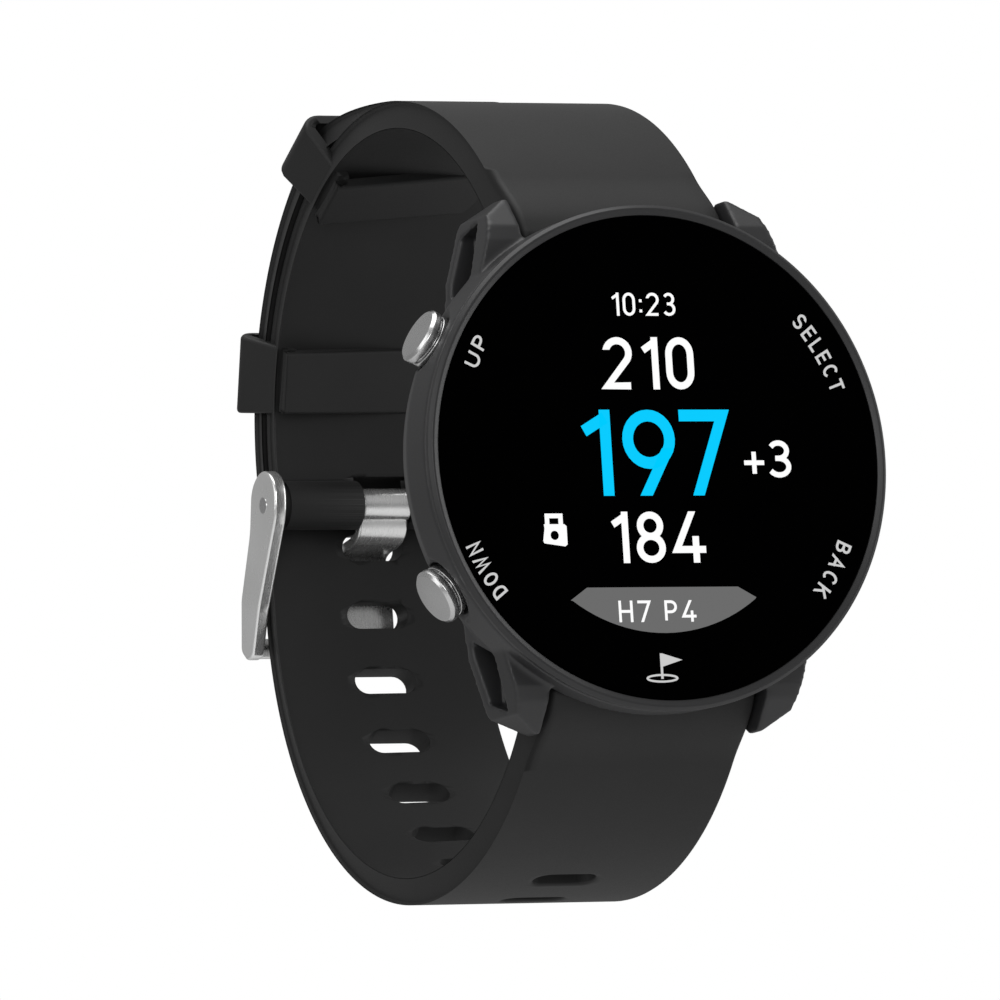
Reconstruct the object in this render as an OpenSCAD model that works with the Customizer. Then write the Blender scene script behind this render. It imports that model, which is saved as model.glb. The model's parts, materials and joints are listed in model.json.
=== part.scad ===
// Golf GPS watch, buckled into a loop. Millimetres.
// The origin is the centre of the flat case back. +Y points to the wrist, so the face looks
// along -Y. +Z points to 12 o'clock and +X to 3 o'clock.
// Case parts are drawn in a bench frame, lying on the case back with the face up, and worn()
// turns them upright. Strap and buckle outlines are drawn in the Y-Z plane and side_on() sweeps
// them along X.

/* [Case] */
// Outside diameter of the bezel
case_d = 46; // [45.6:0.1:46.6]
// Thickness from the case back to the glass
case_h = 11; // [10.9:0.1:11.6]
// Width of the bezel's front ring
bezel_w = 1; // [0.8:0.1:1.2]
// Distance from lug tip to lug tip
lug_span = 48.6; // [48:0.1:49.4]
// Gap between the two lugs of a pair
lug_gap = 21.8; // [21.7:0.1:22]

/* [Buttons] */
// Diameter of a button cap
button_d = 5.2; // [4.8:0.1:5.4]
// Travel of a button
button_travel = 0.7; // [0.4:0.05:0.75]
// Angle of each button above or below the 3 and 9 o'clock line
button_angle = 30; // [28:1:32]

/* [Strap] */
// Width of both strap halves
strap_w = 21.4; // [21:0.1:21.5]
// Thickness of both strap halves
strap_t = 2.8; // [2.4:0.1:2.9]
// Thickness of the tail that lies on the upper half
tail_t = 2.6; // [2.2:0.1:2.8]
// Radius of the upper half at mid thickness
upper_r = 27.6; // [27.3:0.1:27.7]
// Radius of the lower half at mid thickness
lower_r = 29.3; // [29:0.1:29.6]
// Length of an adjustment slot, across the strap
slot_l = 6.2; // [5.8:0.1:7]
// Width of an adjustment slot, along the strap
slot_w = 2.5; // [2.4:0.1:3]
// Angle between neighbouring slots on the lower half
slot_step = 13; // [12.6:0.2:13.2]

/* [Keepers] */
// Length of the free keeper along the strap
free_keeper_l = 6.4; // [5:0.1:7]
// Length of the top keeper along the strap
top_keeper_l = 6; // [5:0.1:7]
// Wall of a keeper
keeper_t = 1.25; // [1:0.05:1.4]

/* [Buckle] */
// Diameter of the buckle bar
bar_d = 1.5; // [1.2:0.1:1.6]
// Thickness of the buckle's side arms
arm_t = 1.3; // [1:0.1:1.5]
// Width of the tongue
tongue_w = 5; // [4:0.1:5.2]
// Thickness of the tongue
tongue_t = 1; // [0.8:0.1:1]

/* [Hidden] */
$fn = 96;
eps = 0.01;
fine = 32;
case_r = case_d / 2;
glass_r = case_r - bezel_w;

// Heights in the bench frame, from the case back up to the glass
case_bottom = 0.4;
back_t = 1.2;
floor_top = 2.2;
board_z = 3.4;
board_t = 0.6;
board_top = board_z + board_t;
button_z = 5.3;
lug_cut_top = 7;
display_seat = 7.5;
case_top = 8.2;
rim_top = 10;
ring_z = 10.15;
lens_seat = case_h - 1.4;
lens_z = case_h - 1.2;

// Radii in the bench frame
back_r = 17.8;
back_opening_r = 14.6;
gasket_r0 = 14.95;
gasket_r1 = 15.45;
ledge_r = 17;
cavity_r = 18.6;
cavity_flat = 16.9;
display_r = 20.5;
bezel_skirt_r = 21.8;
bezel_wall_r = 22.4;
rim_r = case_r - 0.05;
case_flat = 18.3;

// Case back screws
screw_ring_r = 16.6;
screw_r = 0.5;
screw_head_r = 0.9;
screw_top = 3;

// Stations along a button's axis, measured from the centre of the case
cap_top = 24;
cap_groove = 22.8;
cap_rim = 23.1;
cap_base = 22;
well_floor = 20.7;
clip_out = 18.45;
clip_t = 0.3;
stem_end = 17.9;
stem_r = 0.6;
stem_bore_r = 0.65;
seal_at = 19.6;
switch_tip = stem_end - button_travel - 0.05;
switch_face = switch_tip - 0.25;
button_angles = [180 - button_angle, 180 + button_angle, button_angle, -button_angle];

// Spring bars
pin_y = -2.8;
pin_z = 20.8;
tube_r = 0.9;
tube_bore = 0.6;
tube_half = 10;
pin_r = 0.4;
pin_reach = 12;
pin_shoulder = 9.5;
lever_x = 7.4;
pin_travel = 1.2;
bar_spring_r = 0.42;

// Strap loop: [y, z] centres of the two round stretches, and where each half starts and ends
upper_c = [21.3, 8.2];
lower_c = [22, -6];
upper_end = -9.5;
upper_start = 152;
lower_start = -150;
tail_end = 76.5;
tail_r0 = upper_r + strap_t / 2 + 0.1;
tail_mid = tail_r0 + tail_t / 2;
knuckle_r = 2.25;
tip_corner_r = 7;
tip_offset = 0.05;
slot_z1 = -0.15;
first_slot = -1.2;
slot_pitch = slot_step * PI / 180 * 29.1;
tail_slot = 9.6;

// Keepers, by angle round the upper centre
free_at = 15.35;
top_at = 60.2;
keeper_play = 0.2;

// Buckle: [y, z] of the bar and of the crossbar
bar_at = [47.8, 3.56];
cross_at = [54, -9.3];
cross_r = 1;
sleeve_r = 2.3;
barrel_r = 1.55;
arm_x = 11;
run = 0.05;

// ---- Placing ----

// From the bench frame, face up, to the worn frame, face along -Y
module worn() rotate([90, 0, 0]) children();

// From a profile in X-Y to the Y-Z plane, with its height along X
module side_on() rotate([90, 0, 90]) children();

// Each child profile on its own, made w thick about its own plane
module sweep(w) for (i = [0:$children - 1]) linear_extrude(w, center = true) children(i);

// Local Z along a button's axis, in the bench frame
module at_button(a) rotate([0, 0, a]) translate([0, 0, button_z]) rotate([0, 90, 0]) children();

// Local Z radially outwards from a strap centre, at angle a, with X across the strap
module at_strap(c, a) translate([0, c[0], c[1]]) rotate([a - 90, 0, 0]) children();

// One child for each corner of the case, mirrored from the 12 o'clock, 3 o'clock one
module four_corners() for (sx = [0, 1], sy = [0, 1])
    mirror([sx, 0, 0]) mirror([0, sy, 0]) children();

// ---- Shapes ----

function polar(c, r, a) = [c[0] + r * cos(a), c[1] + r * sin(a)];

// A ring from r0 to r1, between two angles less than 180 degrees apart
module sector(c, r0, r1, a0, a1) translate(c) intersection() {
    difference() {
        circle(r1);
        circle(r0);
    }
    polygon(concat([[0, 0]], [for (i = [0:4]) polar([0, 0], 2 * r1, a0 + (a1 - a0) * i / 4)]));
}

// A rounded rectangle about the origin
module rounded(w, h, r) union() {
    square([w - 2 * r, h], center = true);
    square([w, h - 2 * r], center = true);
    for (sx = [-1, 1], sy = [-1, 1]) translate([sx * (w / 2 - r), sy * (h / 2 - r)]) circle(r);
}

// The outline of a band of thickness t along a row of points, mitred at each one
function heading(p, i) = let (
    last = len(p) - 1,
    before = p[min(i, last - 1) + 1] - p[min(i, last - 1)],
    after = p[max(i, 1)] - p[max(i, 1) - 1]
) before / norm(before) + after / norm(after);
function beside(p, t) = [for (i = [0:len(p) - 1]) let (
    h = heading(p, i),
    n = [-h[1], h[0]] / norm(h)
) p[i] + n * t / norm(h)];
module stroke(p, t) {
    near = beside(p, -t);
    polygon(concat(beside(p, t), [for (i = [len(p) - 1:-1:0]) near[i]]));
}

module tube(r0, r1, h) difference() {
    cylinder(r = r1, h = h);
    translate([0, 0, -eps]) cylinder(r = r0, h = h + 2 * eps);
}

// A round rod along X, about [y, z]
module rod_x(at, r, x0, x1) translate([x0, at[0], at[1]]) rotate([0, 90, 0]) cylinder(r = r, h = x1 - x0);

// A compression spring of n turns along Z, with its wire's centre from z = 0 to z = h
module coil(r, wire, h, n) {
    sides = 6;
    rings = n * 14;
    points = [for (i = [0:rings], k = [0:sides - 1]) let (
        a = 360 * n * i / rings,
        b = 360 * k / sides,
        q = r + wire * cos(b)
    ) [q * cos(a), q * sin(a), h * i / rings + wire * sin(b)]];
    walls = [for (i = [0:rings - 1], k = [0:sides - 1]) let (m = (k + 1) % sides)
        [i * sides + k, i * sides + m, (i + 1) * sides + m, (i + 1) * sides + k]];
    caps = [[for (k = [sides - 1:-1:0]) k], [for (k = [0:sides - 1]) rings * sides + k]];
    polyhedron(points, concat(walls, caps));
}

// ---- Case ----

// One lug, at the 12 o'clock, 3 o'clock corner of the bench frame
module lug() intersection() {
    linear_extrude(case_h) polygon([
        [lug_gap / 2, 12], [lug_gap / 2, lug_span / 2], [11.4, lug_span / 2],
        [13.8, 22.6], [15.4, 17.2], [16, 12]
    ]);
    side_on() translate([0, 0, 5]) linear_extrude(15) polygon([
        [12, 0.6], [12, 7.6], [19, 7.6], [20.4, 7], [lug_span / 2, 4.3],
        [lug_span / 2, 3.4], [22.2, 0.6]
    ]);
}

// The long pocket in a lug's outer side
module lug_pocket() side_on() translate([0, 0, 12.6]) linear_extrude(8)
    polygon([[15.8, 1.4], [17.3, 4.7], [21.3, 4.1], [20.5, 1.4]]);

module mid_case() color([0.13, 0.13, 0.14]) worn() difference() {
    union() {
        rotate_extrude() polygon([
            [0, case_bottom], [19.4, case_bottom], [20.6, 0.9], [22.4, 4.2], [rim_r, 6],
            [rim_r, rim_top - 0.15], [rim_r - 0.15, rim_top], [bezel_wall_r + run, rim_top],
            [bezel_wall_r + run, rim_top - 0.75], [bezel_skirt_r + run, rim_top - 0.75],
            [bezel_skirt_r + run, case_top], [0, case_top]
        ]);
        four_corners() lug();
    }
    // Clearance for the strap between the lugs
    for (side = [0, 1]) mirror([0, side, 0])
        translate([-lug_gap / 2, case_flat, -1]) cube([lug_gap, 12, lug_cut_top + 1]);
    four_corners() lug_pocket();
    // Blind holes for the spring bar pins
    four_corners() translate([lug_gap / 2 - 1, pin_z, -pin_y]) rotate([0, 90, 0])
        cylinder(r = pin_r + run, h = 2.4, $fn = fine);
    // Case back seat and the opening above it
    translate([0, 0, -1]) cylinder(r = back_r + 0.1, h = back_t + 1);
    translate([0, 0, -1]) cylinder(r = back_opening_r, h = 5);
    difference() {
        translate([0, 0, floor_top]) linear_extrude(5) intersection() {
            circle(ledge_r);
            square([2 * ledge_r, 2 * cavity_flat - 1.4], center = true);
        }
        for (i = [0:3]) rotate([0, 0, 45 + 90 * i]) translate([screw_ring_r, 0, 0]) cylinder(r = 1.2, h = 3.3);
    }
    for (i = [0:3]) rotate([0, 0, 45 + 90 * i]) translate([screw_ring_r, 0, 0.8])
        cylinder(r = screw_r + 0.02, h = screw_top - 0.6, $fn = fine);
    translate([0, 0, board_z]) linear_extrude(5) intersection() {
        circle(cavity_r);
        square([2 * cavity_r, 2 * cavity_flat], center = true);
    }
    translate([0, 0, display_seat]) cylinder(r = display_r + 0.1, h = 2);
    // Dish, well, seal groove and stem bore of each button
    for (a = button_angles) at_button(a) {
        translate([0, 0, 22.25]) cylinder(r = 3.7, h = 3);
        translate([0, 0, well_floor]) cylinder(r = button_d / 2 + 0.08, h = 4);
        translate([0, 0, seal_at - 0.32]) cylinder(r = 1.15, h = 0.64, $fn = fine);
        translate([0, 0, 17]) cylinder(r = stem_bore_r, h = 5, $fn = fine);
    }
}

// The front ring, with a skirt that drops inside the case rim
module bezel() color([0.3, 0.3, 0.31]) worn() rotate_extrude() polygon([
    [display_r + 0.3, case_top], [bezel_skirt_r, case_top], [bezel_skirt_r, rim_top - 0.7],
    [bezel_wall_r, rim_top - 0.7], [bezel_wall_r, ring_z], [case_r, ring_z], [case_r, case_h - 0.4],
    [case_r - 0.3, case_h], [glass_r, case_h], [glass_r, lens_seat], [display_r + 0.3, lens_seat]
]);

module lens() color([0.02, 0.02, 0.025]) worn() rotate_extrude() polygon([
    [0, lens_z], [glass_r - 0.05, lens_z], [glass_r - 0.05, case_h - 0.2], [glass_r - 0.2, case_h], [0, case_h]
]);

module lens_gasket() color([0.1, 0.1, 0.1]) worn() translate([0, 0, lens_seat])
    tube(display_r + 0.4, glass_r - 0.1, lens_z - lens_seat);

module display_panel() color([0.05, 0.05, 0.06]) worn() translate([0, 0, display_seat + 0.45])
    cylinder(r = display_r - 1, h = 1.5);

module display_frame() color([0.2, 0.2, 0.22]) worn() difference() {
    translate([0, 0, display_seat]) cylinder(r = display_r, h = 1.95);
    translate([0, 0, display_seat + 0.4]) cylinder(r = display_r - 0.9, h = 3);
    translate([-4, -13, display_seat - 1]) cube([8, 2, 2]);
}

module display_flex() color([0.8, 0.5, 0.2]) worn() {
    translate([-2.5, -12.2, board_top]) cube([5, 0.2, display_seat + 0.45 - board_top]);
    translate([-2.5, -12.2, board_top]) cube([5, 2.4, 0.2]);
}

// ---- Electronics ----

module main_board() color([0.05, 0.3, 0.12]) worn() translate([0, 0, board_z]) linear_extrude(board_t)
    intersection() {
        circle(cavity_r - 0.2);
        square([2 * cavity_r, 2 * cavity_flat - 0.6], center = true);
    }

module chip(x, y, w, d, h) translate([x - w / 2, y - d / 2, board_top]) cube([w, d, h]);

module board_chips() color([0.08, 0.08, 0.09]) worn() {
    chip(9.5, 0, 5, 5, 0.9);
    chip(10.5, -6.5, 3, 4, 0.8);
    chip(-11, 5, 3, 3, 0.9);
    chip(5.5, -7, 3, 3, 0.7);
    for (i = [0:4]) chip(-6 + 1.6 * i, -8.4, 0.8, 1.4, 0.6);
}

module shield_can() color([0.75, 0.76, 0.78]) worn() difference() {
    chip(-3.5, -1.2, 12, 10, 1.4);
    translate([-9.3, -6, board_top - 1]) cube([11.6, 9.6, 2.2]);
}

module gps_antenna() color([0.85, 0.8, 0.65]) worn() union() {
    chip(0, 10, 9, 9, 2.6);
    translate([0, 10, board_top + 2.6]) cylinder(r = 0.6, h = 0.2, $fn = fine);
}

module side_switches() color([0.7, 0.7, 0.68]) worn() for (a = button_angles) {
    rotate([0, 0, a]) translate([switch_face - 2.2, -1.7, board_top]) cube([2.2, 3.4, 2.2]);
    at_button(a) translate([0, 0, switch_face]) cylinder(r = 0.45, h = switch_tip - switch_face, $fn = fine);
}

module battery() color([0.75, 0.75, 0.78]) worn() translate([0, 1.5, 1.6])
    linear_extrude(1.6) rounded(20, 16, 1.5);

module battery_lead() color([0.8, 0.5, 0.2]) worn() translate([5, 6, 3.2]) cube([3, 2.4, 0.2]);

module battery_foam() color([0.3, 0.3, 0.3]) worn() translate([-9, -5.5, back_t]) cube([18, 14, 0.4]);

// ---- Case back ----

module case_back() color([0.2, 0.2, 0.21]) worn() difference() {
    rotate_extrude() polygon([[0, 0], [back_r - 0.4, 0], [back_r, 0.4], [back_r, back_t], [0, back_t]]);
    translate([0, 0, back_t - 0.4]) tube(gasket_r0 - 0.05, gasket_r1 + 0.05, 1);
    for (i = [0:3]) rotate([0, 0, 45 + 90 * i]) translate([screw_ring_r, 0, 0]) {
        translate([0, 0, -1]) cylinder(r = screw_r + 0.1, h = 4, $fn = fine);
        translate([0, 0, -1]) cylinder(r = screw_head_r + 0.05, h = 1.55, $fn = fine);
    }
    translate([0, -10.4, -1]) linear_extrude(4) rounded(11, 4.4, 1);
}

module back_gasket() color([0.1, 0.1, 0.1]) worn() translate([0, 0, back_t - 0.38])
    tube(gasket_r0, gasket_r1, 0.38);

module case_back_screws() color([0.6, 0.6, 0.62]) worn() for (i = [0:3])
    rotate([0, 0, 45 + 90 * i]) translate([screw_ring_r, 0, 0]) difference() {
        union() {
            translate([0, 0, 0.05]) cylinder(r = screw_head_r, h = 0.5, $fn = fine);
            translate([0, 0, 0.5]) cylinder(r = screw_r, h = screw_top - 0.5, $fn = fine);
        }
        for (t = [0, 90]) rotate([0, 0, t]) translate([-0.6, -0.12, -0.1]) cube([1.2, 0.24, 0.4]);
    }

contact_xs = [for (i = [0:3]) 2.4 * (i - 1.5)];

module contact_block() color([0.12, 0.12, 0.12]) worn() difference() {
    translate([0, -10.4, 0.25]) linear_extrude(1.6) rounded(10.9, 4.3, 0.95);
    for (x = contact_xs) translate([x, -10.4, -1]) cylinder(r = 0.72, h = 4, $fn = fine);
}

module charging_contacts() color([0.85, 0.68, 0.3]) worn() for (x = contact_xs)
    translate([x, -10.4, 0.12]) cylinder(r = 0.7, h = board_z - 0.12, $fn = fine);

// ---- Buttons ----

module button(a) color([0.78, 0.78, 0.8]) worn() at_button(a) difference() {
    union() {
        translate([0, 0, cap_base]) rotate_extrude() polygon([
            [0, 0], [button_d / 2 - 0.1, 0], [button_d / 2 - 0.1, cap_groove - cap_base],
            [button_d / 2 - 0.4, cap_groove - cap_base], [button_d / 2 - 0.4, cap_rim - cap_base],
            [button_d / 2, cap_rim - cap_base], [button_d / 2, cap_top - cap_base - 0.35],
            [button_d / 2 - 0.3, cap_top - cap_base], [0, cap_top - cap_base]
        ]);
        translate([0, 0, stem_end]) cylinder(r = stem_r, h = cap_base - stem_end + 0.5, $fn = fine);
    }
    translate([0, 0, clip_out - clip_t - 0.03]) tube(0.4, 1, clip_t + 0.06);
}

module clip(a) color([0.6, 0.6, 0.62]) worn() at_button(a) translate([0, 0, clip_out - clip_t])
    linear_extrude(clip_t) difference() {
        circle(1.05, $fn = fine);
        circle(0.42, $fn = fine);
        translate([0, -0.3]) square([2, 0.6]);
    }

module return_spring(a) color([0.7, 0.7, 0.72]) worn() at_button(a)
    translate([0, 0, well_floor + 0.13]) coil(1.5, 0.11, cap_base - well_floor - 0.26, 2.5);

module button_seals() color([0.1, 0.1, 0.1]) worn() for (a = button_angles) at_button(a)
    translate([0, 0, seal_at]) rotate_extrude($fn = fine) translate([0.89, 0]) circle(0.24, $fn = fine);

module up_button() button(button_angles[0]);
module down_button() button(button_angles[1]);
module select_button() button(button_angles[2]);
module back_button() button(button_angles[3]);
module up_clip() clip(button_angles[0]);
module down_clip() clip(button_angles[1]);
module select_clip() clip(button_angles[2]);
module back_clip() clip(button_angles[3]);
module up_spring() return_spring(button_angles[0]);
module down_spring() return_spring(button_angles[1]);
module select_spring() return_spring(button_angles[2]);
module back_spring() return_spring(button_angles[3]);

// ---- Spring bars ----

// The tube with its fixed pin at +X, and a slot on the wrist side for the release lever
module spring_bar(z) color([0.72, 0.72, 0.74]) difference() {
    union() {
        rod_x([pin_y, z], tube_r, -tube_half, tube_half);
        rod_x([pin_y, z], pin_r, tube_half - eps, pin_reach);
    }
    rod_x([pin_y, z], tube_bore, -tube_half + 0.4, 7);
    rod_x([pin_y, z], pin_r + 0.03, -tube_half - 1, 0);
    translate([-lever_x - 0.45, pin_y, z - 0.35]) cube([pin_travel + 0.9, 2, 0.7]);
}

// The sliding pin at -X with its shoulder inside the tube and its lever
module release_pin(z) color([0.8, 0.8, 0.82]) union() {
    rod_x([pin_y, z], pin_r, -pin_reach, -6.4);
    rod_x([pin_y, z], tube_bore - 0.02, -pin_shoulder, -6.4);
    translate([-lever_x, pin_y, z]) rotate([-90, 0, 0]) cylinder(r = 0.3, h = 2.9, $fn = fine);
}

module bar_spring(z) color([0.7, 0.7, 0.72]) translate([-6.25, pin_y, z]) rotate([0, 90, 0])
    coil(bar_spring_r, 0.08, 8, 8);

module upper_spring_bar() spring_bar(pin_z);
module lower_spring_bar() spring_bar(-pin_z);
module upper_release_pin() release_pin(pin_z);
module lower_release_pin() release_pin(-pin_z);
module upper_bar_spring() bar_spring(pin_z);
module lower_bar_spring() bar_spring(-pin_z);

// ---- Strap ----

// What the spring bar and its lever take out of a strap's root
module bar_room(z) {
    rod_x([pin_y, z], tube_r + run, -strap_w, strap_w);
    translate([-lever_x - 0.6, pin_y, z - 0.6]) cube([pin_travel + 1.2, 6, 1.2]);
}

// The thick end of the upper half between its lugs, from the case round to the plain strap
module strap_root(c, r, start) polygon([
    [pin_y + 1.4, pin_z - 1.2], [pin_y + 0.4, pin_z - 2.15], [pin_y - 1.8, pin_z - 1.9],
    [pin_y - 3, pin_z - 1], [pin_y - 2.8, pin_z + 0.2],
    polar(c, r + strap_t / 2 + 0.6, start - 4), polar(c, r + strap_t / 2 - 0.1, start - 13),
    polar(c, r, start - 13)
]);

module upper_strap() color([0.17, 0.17, 0.18]) difference() {
    side_on() sweep(strap_w) {
        sector(upper_c, upper_r - strap_t / 2, upper_r + strap_t / 2, upper_end, upper_start);
        strap_root(upper_c, upper_r, upper_start);
        translate([pin_y, pin_z]) circle(knuckle_r);
        translate(bar_at) circle(sleeve_r);
    }
    bar_room(pin_z);
    rod_x(bar_at, bar_d / 2 + run, -strap_w, strap_w);
    rod_x(bar_at, sleeve_r + 0.3, -tongue_w / 2 - 0.3, tongue_w / 2 + 0.3);
}

// A slot through the strap, along local Z
module slot_cut() translate([0, 0, -6]) {
    for (s = [-1, 1]) translate([s * (slot_l - slot_w) / 2, 0, 0]) cylinder(d = slot_w, h = 12, $fn = fine);
    translate([-(slot_l - slot_w) / 2, -slot_w / 2, 0]) cube([slot_l - slot_w, slot_w, 12]);
}

// The lower half, whole: round the wrist, up behind the buckle, then over the upper half
module lower_loop() side_on() sweep(strap_w) {
    sector(lower_c, lower_r - strap_t / 2, lower_r + strap_t / 2, lower_start, 0);
    mirror([0, 1]) strap_root([lower_c[0], -lower_c[1]], lower_r, -lower_start);
    translate([pin_y, -pin_z]) circle(knuckle_r);
    polygon([
        polar(lower_c, lower_r - strap_t / 2, 0), polar(lower_c, lower_r + strap_t / 2, 0),
        polar(upper_c, tail_r0 + tail_t, 0), polar(upper_c, tail_r0, 0)
    ]);
    sector(upper_c, tail_r0, tail_r0 + tail_t, 0, tail_end);
}

module lower_strap() color([0.17, 0.17, 0.18]) difference() {
    lower_loop();
    bar_room(-pin_z);
    for (i = [0:8]) at_strap(lower_c, first_slot - slot_step * i) translate([0, 0, lower_r]) slot_cut();
    for (i = [0, 1]) translate([0, bar_at[0] + 4, slot_z1 + slot_pitch * i]) rotate([-90, 0, 0]) slot_cut();
    for (i = [0, 1]) at_strap(upper_c, tail_slot + slot_pitch / tail_mid * 180 / PI * i)
        translate([0, 0, tail_mid]) slot_cut();
    // Round corners at the tip, crossing its end and sides rather than just touching them
    at_strap(upper_c, tail_end) for (s = [0, 1]) mirror([s, 0, 0]) difference() {
        translate([strap_w / 2 - tip_corner_r, -4, tail_r0 - 1.5])
            cube([tip_corner_r + 1, tip_corner_r + 4, tail_t + 6]);
        translate([strap_w / 2 - tip_corner_r + tip_offset, tip_corner_r - tip_offset, tail_r0 - 2])
            cylinder(r = tip_corner_r, h = tail_t + 7);
    }
}

// ---- Keepers ----

// A keeper's cross-section, drawn with its radius along X and the strap's width along Y, and
// swept for length l about the strap's centre
module keeper(at, l) {
    r_in = upper_r - strap_t / 2 - keeper_play;
    r_out = tail_r0 + tail_t + keeper_play;
    mid = (r_in + r_out) / 2;
    span = l / upper_r * 180 / PI;
    color([0.16, 0.16, 0.17]) side_on() translate(upper_c) rotate(at - span / 2)
        rotate_extrude(angle = span) translate([mid, 0]) difference() {
            rounded(r_out - r_in + 2 * keeper_t, strap_w + 2 * keeper_play + 2 * keeper_t, 1.8);
            rounded(r_out - r_in, strap_w + 2 * keeper_play, 0.3);
        }
}

module free_keeper() keeper(free_at, free_keeper_l);
module top_keeper() keeper(top_at, top_keeper_l);

// ---- Buckle ----

// One arm, between its own faces at half its thickness
module arm() side_on() sweep(arm_t) {
    translate(bar_at) circle(2.8);
    translate(cross_at) circle(1.3);
    polygon([
        [50.5, 4.2], [52.5, 0], [54.4, -4.6], [55.2, -8.9], [53.1, -9.7],
        [51, -5.4], [48.6, -1.4], [45.4, 2.3], bar_at
    ]);
}

module buckle_frame() color([0.66, 0.66, 0.67]) difference() {
    union() {
        for (side = [-1, 1]) translate([side * (arm_x + arm_t / 2), 0, 0]) arm();
        rod_x(cross_at, cross_r, -arm_x - 0.1, arm_x + 0.1);
    }
    rod_x(bar_at, bar_d / 2 + 0.01, -15, 15);
    // Notch that the tip of the tongue lies in
    rod_x(bar_at, norm(cross_at - bar_at) + 0.15, -tongue_w / 2 - 0.3, tongue_w / 2 + 0.3);
}

module buckle_bar() color([0.7, 0.7, 0.71]) rod_x(bar_at, bar_d / 2, -arm_x - arm_t - 0.05, arm_x + arm_t + 0.05);

module buckle_tongue() color([0.68, 0.68, 0.69]) difference() {
    side_on() sweep(tongue_w) {
        translate(bar_at) circle(barrel_r);
        stroke([
            bar_at + [0.1, -1], bar_at + [0.5, -2.3], bar_at + [1.3, -3], [50.2, 0.22], [52.6, -0.28],
            [53.4, -0.75], [53.75, -1.8], [53.8, -4], [53.8, -8.5]
        ], tongue_t);
    }
    rod_x(bar_at, bar_d / 2 + run, -5, 5);
}

// ---- Parts ----

mid_case();
bezel();
lens();
lens_gasket();
display_panel();
display_frame();
display_flex();
main_board();
board_chips();
shield_can();
gps_antenna();
side_switches();
battery();
battery_lead();
battery_foam();
case_back();
back_gasket();
case_back_screws();
contact_block();
charging_contacts();
button_seals();
up_button();
down_button();
select_button();
back_button();
up_clip();
down_clip();
select_clip();
back_clip();
up_spring();
down_spring();
select_spring();
back_spring();
upper_spring_bar();
lower_spring_bar();
upper_release_pin();
lower_release_pin();
upper_bar_spring();
lower_bar_spring();
upper_strap();
lower_strap();
free_keeper();
top_keeper();
buckle_frame();
buckle_bar();
buckle_tongue();
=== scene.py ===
"""Looks of a golf GPS watch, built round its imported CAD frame. Lengths are in millimetres until
build() turns them into metres. The watch face looks along -Y and +Z points to 12 o'clock."""

import json
import math

import bmesh
import bpy
from mathutils import Matrix, Vector


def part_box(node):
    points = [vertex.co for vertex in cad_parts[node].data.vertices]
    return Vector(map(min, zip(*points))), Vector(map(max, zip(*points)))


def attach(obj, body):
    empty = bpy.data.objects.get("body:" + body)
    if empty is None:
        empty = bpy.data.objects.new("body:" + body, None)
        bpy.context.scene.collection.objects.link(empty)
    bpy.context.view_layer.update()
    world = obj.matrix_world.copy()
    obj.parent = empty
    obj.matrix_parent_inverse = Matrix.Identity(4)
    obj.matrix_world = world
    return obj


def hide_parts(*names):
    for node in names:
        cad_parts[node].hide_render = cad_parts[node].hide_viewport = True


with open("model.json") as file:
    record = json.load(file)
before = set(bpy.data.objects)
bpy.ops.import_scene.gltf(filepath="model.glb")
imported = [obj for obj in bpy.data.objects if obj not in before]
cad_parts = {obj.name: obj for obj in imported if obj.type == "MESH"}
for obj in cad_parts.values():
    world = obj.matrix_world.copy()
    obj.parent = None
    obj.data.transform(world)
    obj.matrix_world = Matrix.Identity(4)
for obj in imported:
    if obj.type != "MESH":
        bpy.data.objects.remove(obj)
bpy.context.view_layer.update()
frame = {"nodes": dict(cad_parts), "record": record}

MM = 0.001

# ---- Sizes, worked out from the frame ----

lens_low, lens_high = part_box("lens")
bezel_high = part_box("bezel")[1]
strap_low, strap_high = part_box("upper_strap")
CASE_R = bezel_high.x / MM
CASE_H = -lens_low.y / MM
GLASS_R = lens_high.x / MM + 0.05
STRAP_W = (strap_high.x - strap_low.x) / MM

# ---- Sizes repeated from the CAD source ----

RIM_TOP = 10.0
RING_Z = 10.15
CASE_BOTTOM = 0.4
BEZEL_WALL_R = 22.4
BEZEL_SKIRT_R = 21.8
CASE_TOP = 8.2
LENS_SEAT = 9.6
BUTTON_Z = 5.3
BUTTON_R = 2.6
BUTTON_ANGLES = {"up": 150, "down": 210, "select": 30, "back": -30}
WELL_FLOOR = 20.7
CASE_FLAT = 18.3
LUG_CUT_TOP = 7.0
LUG_GAP = 21.8
LUG_SPAN = 48.6
SEAT_R = 20.8
DISPLAY_SEAT = (20.6, 7.5)  # radius and height
BACK_SEAT = (17.9, 1.2)  # radius and height
BACK_OPENING_R = 14.6
PIN = (-2.8, 20.8)  # a spring bar's Y, and its Z above or below the middle
STRAP_T = 2.8
TAIL_T = 2.6
UPPER_C = (21.3, 8.2)  # Y and Z of an arc's centre, as LOWER_C
UPPER_R = 27.6
LOWER_C = (22.0, -6.0)
LOWER_R = 29.3
TAIL_R = 30.4
TAIL_END = 76.5
UPPER_START = 152.0
UPPER_END = -9.5
LOWER_START = -150.0
SLOT_L = 6.2
SLOT_W = 2.5
SLOT_STEP = 13.0
FIRST_SLOT = -1.2
SLOT_PITCH = math.radians(SLOT_STEP) * 29.1
STRAIGHT_SLOT = 5.85
TAIL_SLOT = 9.6
TIP_CORNER = 7.0
KEEPER_T = 1.25
KEEPER_PLAY = 0.2
FREE_KEEPER = (15.35, 6.4)  # angle and length
TOP_KEEPER = (60.2, 6.0)  # angle and length
SLEEVE_R = 2.3
BARREL_R = 1.55
BORE_R = 0.8
TONGUE_HALF = 2.5
BAR = (47.8, 3.56)  # Y and Z of the buckle bar
ARM_X = 11.0
ARM_T = 1.3

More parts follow.
